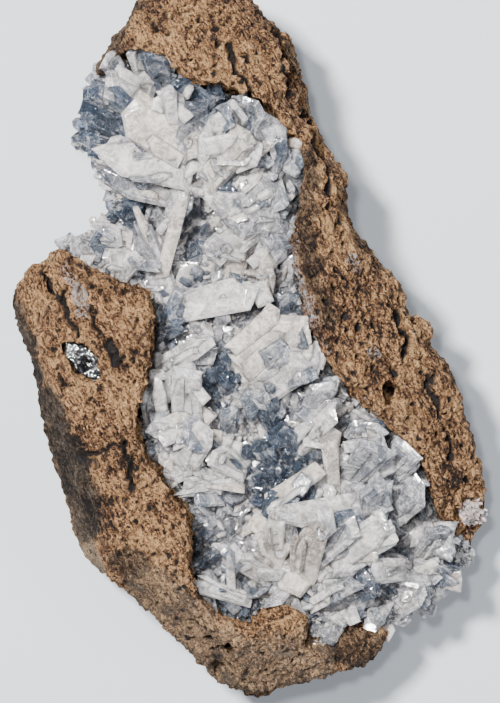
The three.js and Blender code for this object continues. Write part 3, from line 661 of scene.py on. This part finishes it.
@dataclass
class RockSkin:
    """The rock's rough skin, grown from the plain solid. Its lengths are in millimetres."""

    source: bpy.types.Object
    voxel: float = 1.26
    smoothing: int = 5
    finish: RockFinish = field(default_factory=RockFinish)
    streak: Place = (0.45, -0.893)
    streak_squeeze: float = 0.28
    bend: float = 1.2
    mark_bend: float = 1.6
    pit_depth: float = 1.1
    pore_depth: float = 1.3
    open_heights: Place = (22.0, 36.0)
    resting_heights: Place = (0.2, 5.0)

    def base_mesh(self) -> bpy.types.Mesh:
        """Cover the solid in small even faces and round its facets."""
        blank = bpy.data.objects.new("blank", self.source.data.copy())
        bpy.context.scene.collection.objects.link(blank)
        remesh = blank.modifiers.new("even", "REMESH")
        remesh.mode = "VOXEL"
        remesh.voxel_size = self.voxel * MM
        soften = blank.modifiers.new("soften", "SMOOTH")
        soften.factor = 0.5
        soften.iterations = self.smoothing
        graph = bpy.context.evaluated_depsgraph_get()
        mesh = bpy.data.meshes.new_from_object(blank.evaluated_get(graph))
        bpy.data.objects.remove(blank)
        return mesh

    def grain_space(self, points: np.ndarray) -> np.ndarray:
        """Squeeze space along the rock's streaks, so that round relief becomes long."""
        along = points[:, 0] * self.streak[0] + points[:, 1] * self.streak[1]
        aside = points[:, 0] * self.streak[1] - points[:, 1] * self.streak[0]
        return np.stack([aside, along * self.streak_squeeze, points[:, 2]], axis=1)

    def relief(self, points: np.ndarray, open_side: np.ndarray) -> tuple[np.ndarray, np.ndarray]:
        """Work out the skin's rise and its colour channels.

        Args:
            points: The smooth skin's points.
            open_side: How much each point belongs to the open side, from 0 to 1.

        Returns:
            The rise in millimetres per point, and the four colour channels per point: grey, pale
            and crust stains, and painted shade in pits, pores, sunk spots and cracks.
        """
        bends = np.stack([swell(points, 6.0, Seed.BEND + axis) for axis in range(3)], 1)
        bent = points + self.bend * bends
        weights = {layer: np.zeros(len(points)) for layer in Layer}
        # Every kind of relief is a height times a pattern whose bumps have one length
        rise = 1.2 * swell(points, 17.0, Seed.LUMPS) + 0.9 * swell(bent, 8.0, Seed.KNOBS)
        wavy = points + self.mark_bend * (bent - points)
        for mark in ROCK_MARKS:
            reach = path_distance(wavy, mark.path) / mark.width
            soft = 0.4 if mark.layer is Layer.CARVED else 0.82
            weight = open_side * (1.0 - smoothstep(reach, soft, 1.1))
            rise += mark.rise * weight
            weights[mark.layer] = np.maximum(weights[mark.layer], mark.share * weight)
        rise += np.abs(swell(bent, 4.2, Seed.RIDGES)) + 0.9 * swell(bent, 2.3, Seed.GRIT) - 0.3
        streaks = np.abs(swell(self.grain_space(bent), 3.0, Seed.STREAKS))
        rise += 1.5 * streaks * (0.35 + 0.65 * open_side) - 0.35
        porous = weights[Layer.POROUS]
        holes = np.maximum(pits(bent, 3.2, Seed.PITS), porous * pits(bent, 5.2, Seed.PORES))
        rise -= (self.pit_depth + self.pore_depth * porous) * holes
        # Painted shade: pits, pores, spots sunk below the skin and carved cracks are darkened in
        # the colour
        dark = np.maximum(0.85 * holes, 0.6 * smoothstep(-rise, 0.4, 1.9))
        dark = np.maximum(dark, 0.9 * weights[Layer.CARVED])
        stains = [weights[layer] for layer in (Layer.GREY, Layer.PALE, Layer.CRUST)]
        return rise, np.stack([*stains, dark], axis=1)

    def build(self) -> bpy.types.Object:
        """Make the skin and put it in the rock's place."""
        mesh = self.base_mesh()
        points = mesh_points(mesh)
        normals = np.array([vertex.normal for vertex in mesh.vertices])
        heights = points[:, 2]
        open_side = smoothstep(heights, *self.open_heights) * smoothstep(normals[:, 2], -0.5, 0.0)
        rise, skin = self.relief(points, open_side)
        rise *= smoothstep(heights, *self.resting_heights)
        points += normals * rise[:, None]
        points[:, 2] = np.maximum(points[:, 2], 0.0)
        mesh.vertices.foreach_set("co", (points * MM).astype(np.float32).ravel())
        colour_attribute(mesh, "skin", "POINT", skin)
        mesh.materials.clear()
        mesh.materials.append(self.finish.build())
        mesh.polygons.foreach_set("use_smooth", np.zeros(len(mesh.polygons), bool))
        mesh.update()
        return piece_from("rock_skin", mesh, "rock", "host_rock")


def tablet(blade: Blade, dice: np.random.Generator,
           simple: bool = False) -> tuple[np.ndarray, list[tuple[int, ...]]]:
    """Shape one flat crystal: two broad faces that stand in from a sharp rim.

    Args:
        blade: Where the crystal runs, and its width, thickness and roll.
        dice: Seeded source of chance.
        simple: Whether four corners will do instead of six.

    Returns:
        Its points in millimetres and its faces.
    """
    foot = Vector(blade.foot)
    along = Vector(blade.tip) - foot
    length = along.length
    along.normalize()
    level = Vector((0, 0, 1)).cross(along)
    across = level.normalized() if level.length > 1e-4 else Vector((1, 0, 0))
    across.rotate(Quaternion(along, math.radians(blade.roll)))
    axes = np.array([along * length, across * blade.width, along.cross(across) * blade.thick])

    broad = min(1.0, blade.width / length / 0.7)
    shoulders = dice.uniform(0.7 - 0.28 * broad, 0.92, 2)
    lean = dice.uniform(-0.32, 0.32)
    if simple:
        rim = [(0.0, lean), (shoulders[0], -0.5), (1.0, lean), (shoulders[1], 0.5)]
    else:
        base = 0.46 - 0.16 * broad * dice.random()
        blunt = dice.uniform(0.1, 0.36) if dice.random() < 0.75 else 0.04
        chip = dice.uniform(0.0, 0.09, 2)
        rim = [(0.0, -base), (shoulders[0], -0.5), (1.0 - chip[0], lean - blunt),
               (1.0 - chip[1], lean + blunt), (shoulders[1], 0.5), (0.0, base)]
    edge = np.array(rim)
    middle = edge.mean(axis=0)
    rings = [np.column_stack([edge, dice.uniform(-0.12, 0.12, len(edge))])]
    for side in (0.5, -0.5):
        inset = dice.uniform(0.58, 0.9, (len(edge), 1))
        rings.append(np.column_stack([middle + (edge - middle) * inset, np.full(len(edge), side)]))
    count = len(edge)
    faces = [tuple(range(count, 2 * count)), tuple(range(3 * count - 1, 2 * count - 1, -1))]
    for i in range(count):
        j = (i + 1) % count
        faces += [(i, j, j + count, i + count), (j, i, i + 2 * count, j + 2 * count)]
    return np.array(foot) + np.concatenate(rings) @ axes, faces


def worn_shape(points: np.ndarray, faces: Sequence[Sequence[int]],
               width: float) -> tuple[np.ndarray, list[tuple[int, ...]], list[bool]]:
    """Wear a closed shape's edges flat.

    Args:
        points: Its points in millimetres.
        faces: Its faces.
        width: How wide the worn edges are, in millimetres.

    Returns:
        The new points and faces, and which of the faces are worn edges.
    """
    shape = bmesh.new()
    corners = [shape.verts.new(point) for point in points]
    for face in faces:
        shape.faces.new([corners[i] for i in face])
    bmesh.ops.bevel(shape, geom=list(shape.edges), offset=width, segments=1, profile=0.5,
                    affect="EDGES", clamp_overlap=True, material=1)
    shape.verts.index_update()
    new_points = np.array([vert.co[:] for vert in shape.verts])
    new_faces = [tuple(vert.index for vert in face.verts) for face in shape.faces]
    is_worn = [face.material_index == 1 for face in shape.faces]
    shape.free()
    return new_points, new_faces, is_worn


@dataclass
class CrystalHeap:
    """Closed crystals that are gathered into one mesh."""

    points: list[np.ndarray] = field(default_factory=list)
    faces: list[tuple[int, ...]] = field(default_factory=list)
    tones: list[np.ndarray] = field(default_factory=list)
    kinds: list[int] = field(default_factory=list)
    count: int = 0
    simple_below: float = 3.5
    clear_below: float = 0.45
    edge_frost_and_highlight: tuple[float, ...] = (0.2, -0.1, 0.0, 0.0)

    def add(self, blade: Blade, dice: np.random.Generator, worn: float = 0.0,
            spread: float = 0.12) -> None:
        """Add one crystal, with a tone a little off its own.

        Args:
            blade: The crystal.
            dice: Seeded source of chance.
            worn: Width of its worn edges, which are painted whiter as frost and as a painted
                highlight, or 0 for sharp ones.
            spread: How far the tone may stray.
        """
        tone = np.clip(np.array(blade.tone.value) + dice.uniform(-spread, spread, 3), 0.0, 1.0)
        tone = np.append(tone, dice.random())
        points, faces = tablet(blade, dice, simple=blade.width < self.simple_below)
        is_worn = [False] * len(faces)
        if worn:
            points, faces, is_worn = worn_shape(points, faces, worn)
        # Most crystals are clearer, bluer and less warm towards the tip
        foot, run = np.array(blade.foot), np.array(blade.tip) - blade.foot
        share = np.clip((points - foot) @ run / (run @ run), 0.0, 1.0)
        change = np.array([dice.uniform(-0.6, 0.15), dice.uniform(-0.1, 0.4), -0.2, 0.0])
        tones = tone + np.outer(share - 0.45, change)
        sides = [len(face) for face in faces]
        # Worn edges are made milkier and less blue: partly frost, partly painted highlight where
        # edges catch the light
        frost = np.outer(np.repeat(is_worn, sides), self.edge_frost_and_highlight)
        self.add_shape(points, faces, np.clip(tones[np.concatenate(faces)] + frost, 0.0, 1.0))

    def add_shape(self, points: np.ndarray, faces: Sequence[Sequence[int]],
                  tones: np.ndarray) -> None:
        """Add any closed shape, with a tone for each corner of each face, or one for all."""
        corners = sum(len(face) for face in faces)
        self.points.append(points)
        self.faces.extend(tuple(self.count + corner for corner in face) for face in faces)
        self.tones.append(np.broadcast_to(tones, (corners, 4)))
        is_clear = np.mean(np.atleast_2d(tones)[:, 0]) < self.clear_below
        self.kinds.extend([int(is_clear)] * len(faces))
        self.count += len(points)

    def mesh(self, name: str, *finishes: CelestiteFinish) -> bpy.types.Mesh:
        """Make the mesh, with one material for milky crystals and one for clear ones."""
        mesh = bpy.data.meshes.new(name)
        mesh.from_pydata(np.concatenate(self.points) * MM, [], self.faces)
        for finish in finishes:
            mesh.materials.append(finish.build())
        if len(finishes) > 1:
            mesh.polygons.foreach_set("material_index", np.array(self.kinds, np.int32))
        colour_attribute(mesh, "tone", "CORNER", np.concatenate(self.tones))
        mesh.update()
        return mesh


@dataclass
class Surface:
    """The top of a solid, looked up from above."""

    node: bpy.types.Object
    tree: BVHTree = field(init=False)

    def __post_init__(self) -> None:
        """Sort the solid's faces for looking up."""
        mesh = self.node.data
        corners = [vertex.co.copy() for vertex in mesh.vertices]
        self.tree = BVHTree.FromPolygons(corners, [tuple(p.vertices) for p in mesh.polygons])

    def top(self, x: float, y: float) -> float | None:
        """Give the height over a place, or None where the solid isn't."""
        hit = self.tree.ray_cast(Vector((x * MM, y * MM, OVERHEAD)), Vector((0, 0, -1)))[0]
        return None if hit is None else hit.z / MM


def direction(turn: float, rise: float) -> np.ndarray:
    """Give the unit step at an angle from +X and an angle above the horizontal."""
    level = math.cos(rise)
    return np.array([math.cos(turn) * level, math.sin(turn) * level, math.sin(rise)])


@dataclass(frozen=True)
class Growth:
    """One kind of smaller crystals, with its shortest and longest, narrowest and widest.

    The share near_edge of them lies close to the bed's edge, and their feet are sunk in the bed.
    """

    count: int
    near_edge: float
    length: Place
    width: Place
    sunk: float


MEDIUM = Growth(800, 0.15, (8.0, 18.0), (3.5, 8.5), 3.0)
SMALL = Growth(4200, 0.4, (2.0, 6.5), (1.0, 3.0), 0.8)


@dataclass
class CrystalCrust:
    """Everything that grew in the hollow: main blades, the smaller ones and their bed."""

    crust: Surface
    rock: Surface
    step: float = 2.0
    seed: int = 11
    corner: Place = (-84.0, -128.0)
    cells: tuple[int, int] = (90, 125)
    cover: float = 0.2
    bed_drop: float = 2.0
    bed_depth: float = 5.0
    main_thinning: float = 0.62
    main_wear: float = 0.18
    companions: int = 2
    companion_wear: float = 0.14
    rod_width: float = 6.0
    neck: Place = (-34.0, 42.0)
    neck_reach: float = 13.0
    plates: int = 360
    plate_wear: float = 0.12
    plate_length: Place = (8.0, 19.0)
    plate_width: Place = (5.0, 12.0)
    plate_thick: Place = (1.2, 2.8)
    plate_depth: Place = (1.2, 6.0)
    growths: tuple[Growth, ...] = (MEDIUM, SMALL)
    heap: CrystalHeap = field(default_factory=CrystalHeap)
    dice: np.random.Generator = field(init=False)
    tops: np.ndarray = field(init=False)
    bed: np.ndarray = field(init=False)

    def __post_init__(self) -> None:
        """Look up the crust's top over the hollow, and lay the bed under it."""
        self.dice = np.random.default_rng(self.seed)
        tops = np.full(self.cells, np.nan)
        for i, j in itertools.product(range(self.cells[0]), range(self.cells[1])):
            x, y = self.place(i, j)
            crust, rock = self.crust.top(x, y), self.rock.top(x, y)
            if crust is not None and (rock is None or crust > rock + self.cover):
                tops[i, j] = crust
        self.tops = tops
        self.bed = self.lowered(tops)

    def place(self, i: float, j: float) -> Place:
        """Give the place of a cell in millimetres."""
        return self.corner[0] + self.step * i, self.corner[1] + self.step * j

    def lowered(self, tops: np.ndarray) -> np.ndarray:
        """Find the bed: lower than everything near it, and smooth."""
        low = tops.copy()
        for _ in range(4):
            low = self.around(low, np.nanmin)
        for _ in range(3):
            low = self.around(low, np.nanmean)
        return np.where(np.isnan(tops), np.nan, low - self.bed_drop)

    def around(self, heights: np.ndarray,
               choose: Callable[..., np.ndarray]) -> np.ndarray:
        """Replace each cell by one value for the nine cells around it."""
        padded = np.pad(heights, 1, constant_values=np.nan)
        rows, columns = heights.shape
        shifted = [padded[a:a + rows, b:b + columns] for a in range(3) for b in range(3)]
        stack = np.stack(shifted)
        known = ~np.all(np.isnan(stack), axis=0)
        stack[0][~known] = 0.0
        return np.where(known & ~np.isnan(heights), choose(stack, axis=0), np.nan)

    def tone_at(self, x: float, y: float) -> Tone:
        """Choose the tone of a small crystal by its place."""
        for zone in TONE_ZONES:
            away = math.hypot((x - zone.at[0]) / zone.size[0], (y - zone.at[1]) / zone.size[1])
            if away < self.dice.uniform(0.6, 1.25):
                return zone.tone
        return LOOSE_TONES[self.dice.integers(len(LOOSE_TONES))]

    def heading(self, x: float, y: float, spread: float) -> float:
        """Choose a direction away from the nearest group's middle."""
        middle = min(CLUSTERS, key=lambda place: math.hypot(x - place[0], y - place[1]))
        outwards = math.atan2(y - middle[1], x - middle[0])
        return outwards + self.dice.normal(0.0, spread)

    def add_main(self) -> None:
        """Add the main crystals, all but the rods with thinner ones grown along them."""
        for blade in MAIN_CRYSTALS:
            thin = replace(blade, thick=self.main_thinning * blade.thick)
            self.heap.add(thin, self.dice, self.main_wear, spread=0.05)
            for _ in range(self.companions if blade.width > self.rod_width else 0):
                self.heap.add(self.companion(blade), self.dice, self.companion_wear, spread=0.1)

    def companion(self, blade: Blade) -> Blade:
        """Make a thinner crystal that lies almost along a main one."""
        foot, tip = np.array(blade.foot, float), np.array(blade.tip, float)
        along = tip - foot
        aside = np.cross((0.0, 0.0, 1.0), along / np.linalg.norm(along))
        shift = aside * blade.width * self.dice.uniform(-0.36, 0.36)
        shift[2] += blade.thick * self.dice.uniform(-0.3, 0.3)
        tilt = self.dice.normal(0.0, 0.05, 3) * np.linalg.norm(along)
        start = foot + shift
        end = start + self.dice.uniform(0.55, 0.98) * along + tilt
        width = blade.width * self.dice.uniform(0.3, 0.65)
        thick = blade.thick * self.dice.uniform(0.5, 0.95)
        roll = blade.roll + self.dice.normal(0.0, 7.0)
        return Blade(tuple(start + 0.05 * along), tuple(end), width, thick, roll, blade.tone)

    def scattered(self, count: int, near_edge: float) -> Iterator[tuple[float, float, float]]:
        """Choose places on the bed.

        Args:
            count: How many.
            near_edge: Share of them that lie close to the bed's edge.

        Yields:
            Each place, and the bed's height there.
        """
        known = ~np.isnan(self.bed)
        padded = np.pad(known, 2)
        rows, columns = known.shape
        shifts = itertools.product((0, 2, 4), repeat=2)
        inner = np.all([padded[a:a + rows, b:b + columns] for a, b in shifts], 0)
        everywhere, edge = np.argwhere(known), np.argwhere(known & ~inner)
        for _ in range(count):
            cells = edge if self.dice.random() < near_edge else everywhere
            i, j = cells[self.dice.integers(len(cells))]
            x, y = self.place(i + self.dice.uniform(-0.5, 0.5), j + self.dice.uniform(-0.5, 0.5))
            yield x, y, float(self.bed[i, j])

    def add_plates(self) -> None:
        """Add broad plates that lie like shingles under the crust's top, but not in the neck."""
        for x, y, _ in self.scattered(self.plates, 0.1):
            top = self.crust.top(x, y)
            if top is None or math.dist((x, y), self.neck) < self.neck_reach:
                continue
            way = direction(self.heading(x, y, 0.7), math.radians(self.dice.uniform(2, 38)))
            length = self.dice.uniform(*self.plate_length)
            width = self.dice.uniform(*self.plate_width)
            middle = np.array([x, y, top - self.dice.uniform(*self.plate_depth)])
            if self.crust.top(*(middle + 0.4 * length * way)[:2]) is None:
                length *= 0.5
            foot, tip = middle - 0.6 * length * way, middle + 0.4 * length * way
            thick, roll = self.dice.uniform(*self.plate_thick), self.dice.normal(0.0, 28.0)
            plate = Blade(tuple(foot), tuple(tip), width, thick, roll, self.tone_at(x, y))
            self.heap.add(plate, self.dice, self.plate_wear)

    def add_growth(self, growth: Growth) -> None:
        """Add smaller crystals that fan out from the bed."""
        for x, y, z in self.scattered(growth.count, growth.near_edge):
            way = direction(self.heading(x, y, 0.9), math.radians(self.dice.uniform(20, 80)))
            foot = np.array([x, y, z - growth.sunk])
            tip = foot + way * self.dice.uniform(*growth.length)
            over = self.crust.top(tip[0], tip[1])
            if over is None:
                tip = foot + 0.45 * (tip - foot)
            limit = z + 4.0 if over is None else over + 1.0
            if tip[2] > limit:
                tip = foot + (tip - foot) * max(0.3, (limit - foot[2]) / (tip[2] - foot[2]))
            broad = self.dice.uniform(*growth.width)
            thick, roll = broad * self.dice.uniform(0.3, 0.6), self.dice.uniform(-80, 80)
            small = Blade(tuple(foot), tuple(tip), broad, thick, roll, self.tone_at(x, y))
            self.heap.add(small, self.dice)

    def corner_height(self, i: int, j: int) -> float:
        """Give the bed's height at a corner between cells."""
        block = self.bed[max(0, i - 1):i + 1, max(0, j - 1):j + 1]
        return float(np.nanmean(block))

    def add_bed(self) -> None:
        """Add the bed itself, as one closed slab under the crystals."""
        known = ~np.isnan(self.bed)
        index: dict[tuple[int, int, int], int] = {}
        points: list[Spot] = []
        faces: list[tuple[int, ...]] = []

        def corner(i: int, j: int, side: int) -> int:
            """Number the corner between cells on the upper side, 1, or the lower, 0."""
            key = (i, j, side)
            if key not in index:
                x, y = self.place(i - 0.5, j - 0.5)
                lump = float(swell(np.array([[x, y, 0.0]]), 5.0, Seed.BED)[0])
                z = self.corner_height(i, j)
                points.append((x, y, z + 0.8 * lump if side else z - self.bed_depth))
                index[key] = len(points) - 1
            return index[key]

        sides = (((-1, 0), (0, 1), (0, 0)), ((1, 0), (1, 0), (1, 1)),
                 ((0, -1), (0, 0), (1, 0)), ((0, 1), (1, 1), (0, 1)))
        square = ((0, 0), (1, 0), (1, 1), (0, 1))
        for i, j in np.argwhere(known):
            faces.append(tuple(corner(i + a, j + b, 1) for a, b in square))
            faces.append(tuple(corner(i + a, j + b, 0) for a, b in reversed(square)))
            for (di, dj), first, second in sides:
                a, b = i + di, j + dj
                inside = 0 <= a < known.shape[0] and 0 <= b < known.shape[1] and known[a, b]
                if not inside:
                    p, q = (i + first[0], j + first[1]), (i + second[0], j + second[1])
                    faces.append((corner(*p, 1), corner(*p, 0), corner(*q, 0), corner(*q, 1)))
        self.heap.add_shape(np.array(points), faces, np.array([0.5, 0.6, 0.1, 0.5]))

    def build(self) -> bpy.types.Object:
        """Grow the whole crust and put it in its place."""
        self.add_main()
        self.add_plates()
        for growth in self.growths:
            self.add_growth(growth)
        self.add_bed()
        mesh = self.heap.mesh("celestite_crust", MILKY, CLEAR)
        return piece_from("celestite_crust", mesh, "celestite", "crystal_crust")


@dataclass
class FineTuft:
    """A tuft of fine crystals on a small solid."""

    source: Surface
    name: str
    slot: str
    at: Spot
    size: Spot
    finish: CelestiteFinish
    tones: tuple[Tone, ...]
    count: int
    length: Place
    width: Place
    seed: int
    flare: float = 0.8
    disorder: float = 0.3
    root_share: float = 0.86

    def build(self) -> bpy.types.Object:
        """Grow the tuft on a lowered copy of the solid and put it in its place."""
        dice = np.random.default_rng(self.seed)
        heap = CrystalHeap()
        low, high = (np.array(corner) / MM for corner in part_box(self.source.node.name))
        for _ in range(self.count):
            x, y = dice.uniform(low[:2], high[:2])
            top = self.source.top(x, y)
            if top is None:
                continue
            way = np.array([x - self.at[0], y - self.at[1], 0.0]) / max(self.size[:2])
            way = way * self.flare + dice.normal(0.0, self.disorder, 3) + (0.0, 0.0, 1.0)
            way /= np.linalg.norm(way)
            foot = np.array([x, y, top - self.length[1] * 0.7])
            tip = foot + way * dice.uniform(*self.length)
            broad = dice.uniform(*self.width)
            tone, roll = self.tones[dice.integers(len(self.tones))], dice.uniform(0, 180)
            heap.add(Blade(tuple(foot), tuple(tip), broad, broad * 0.6, roll, tone), dice)
        heap.add_shape(*self.rooted(), np.array([*self.tones[0].value, 0.4]))
        mesh = heap.mesh(self.name, self.finish)
        return piece_from(self.name, mesh, self.slot, self.source.node.name)

    def rooted(self) -> tuple[np.ndarray, list[tuple[int, ...]]]:
        """Copy the solid a little smaller, as the mass that the crystals grow on."""
        points = mesh_points(self.source.node.data)
        middle = points.mean(axis=0)
        faces = [tuple(polygon.vertices) for polygon in self.source.node.data.polygons]
        return middle + (points - middle) * self.root_share, faces


@dataclass
class Studio:
    """The plain floor, the soft lights and the camera over the open side."""

    aim: Spot = (-0.002, -0.0026, 0.05)
    distance: float = 1.15
    seen_height: float = 0.2777
    sensor: float = 36.0
    floor_half: float = 3.0
    sky_light: float = 0.2

    def camera(self) -> None:
        """Hang the camera straight over the geode, with its narrow end up in the picture."""
        data = bpy.data.cameras.new("camera")
        data.sensor_width = self.sensor
        data.lens = self.sensor * self.distance / self.seen_height
        data.clip_start = 0.01
        camera = bpy.data.objects.new("camera", data)
        camera.location = Vector(self.aim) + Vector((0, 0, self.distance))
        bpy.context.scene.collection.objects.link(camera)
        bpy.context.scene.camera = camera

    def light(self, name: str, at: Spot, size: float, power: float, tint: Spot) -> None:
        """Hang one square light that faces the geode."""
        data = bpy.data.lights.new(name, "AREA")
        data.size = size
        data.energy = power
        data.color = tint
        lamp = bpy.data.objects.new(name, data)
        lamp.location = at
        lamp.rotation_euler = (Vector(self.aim) - Vector(at)).to_track_quat("-Z", "Y").to_euler()
        bpy.context.scene.collection.objects.link(lamp)

    def floor(self) -> None:
        """Lay the plain pale floor."""
        mesh = bpy.data.meshes.new("floor")
        half = self.floor_half
        mesh.from_pydata([(-half, -half, 0), (half, -half, 0), (half, half, 0), (-half, half, 0)],
                         [], [(0, 1, 2, 3)])
        sheet = Shading("floor_card")
        where = sheet.add("TexCoord", {}).outputs["Object"]
        shade = sheet.mix(sheet.noise(where, 6.0), (0.56, 0.60, 0.65, 1), (0.60, 0.64, 0.69, 1))
        shader = sheet.add("BsdfPrincipled", {"Base Color": shade, "Roughness": 0.9})
        mesh.materials.append(sheet.finish(shader))
        floor = bpy.data.objects.new("floor", mesh)
        bpy.context.scene.collection.objects.link(floor)

    def sky(self) -> None:
        """Surround everything with plain soft light."""
        world = bpy.data.worlds.new("studio")
        world.use_nodes = True
        background = world.node_tree.nodes["Background"]
        background.inputs["Color"].default_value = (0.92, 0.96, 1.0, 1.0)
        background.inputs["Strength"].default_value = self.sky_light
        bpy.context.scene.world = world

    def build(self) -> None:
        """Set up the floor, lights and camera."""
        self.camera()
        self.floor()
        self.sky()
        self.light("key", (-0.36, 0.28, 1.1), 0.14, 40.0, (1.0, 0.97, 0.93))
        self.light("glints", (-0.1, 0.12, 1.25), 0.07, 7.0, (1.0, 0.99, 0.97))
        self.light("fill", (0.75, -0.35, 0.8), 0.4, 6.0, (0.93, 0.96, 1.0))


def main() -> None:
    """Build the stage and the geode's pieces in order, and report each one."""
    logging.basicConfig(level=logging.INFO, format="%(name)s: %(message)s")
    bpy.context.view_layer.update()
    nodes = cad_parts
    Studio().build()
    rock, crust = Surface(nodes["host_rock"]), Surface(nodes["crystal_crust"])
    makers = (
        RockSkin(nodes["host_rock"]),
        CrystalCrust(crust, rock),
        # The pocket's tuft starts from slate, so its mass is near-black glass, painted shade of
        # the pocket
        FineTuft(Surface(nodes["side_pocket_crystals"]), "pocket_crystals", "pocket_crystals",
                 (-67, -6, 65), (6, 12, 11), DUSKY, (Tone.SLATE, Tone.WHITE, Tone.BLUE), 70,
                 (3.0, 8.0), (1.4, 3.6), 23),
        FineTuft(Surface(nodes["rim_crystal"]), "rim_grains", "rim_crystal",
                 (85, -66, 42), (6, 6, 6), ROSY, (Tone.WHITE, Tone.CREAM), 130, (2.0, 5.0),
                 (0.8, 2.2), 29),
    )
    for maker in makers:
        piece = maker.build()
        LOG.info("%s has %d faces", piece.name, len(piece.data.polygons))


if __name__ == "__main__":
    main()
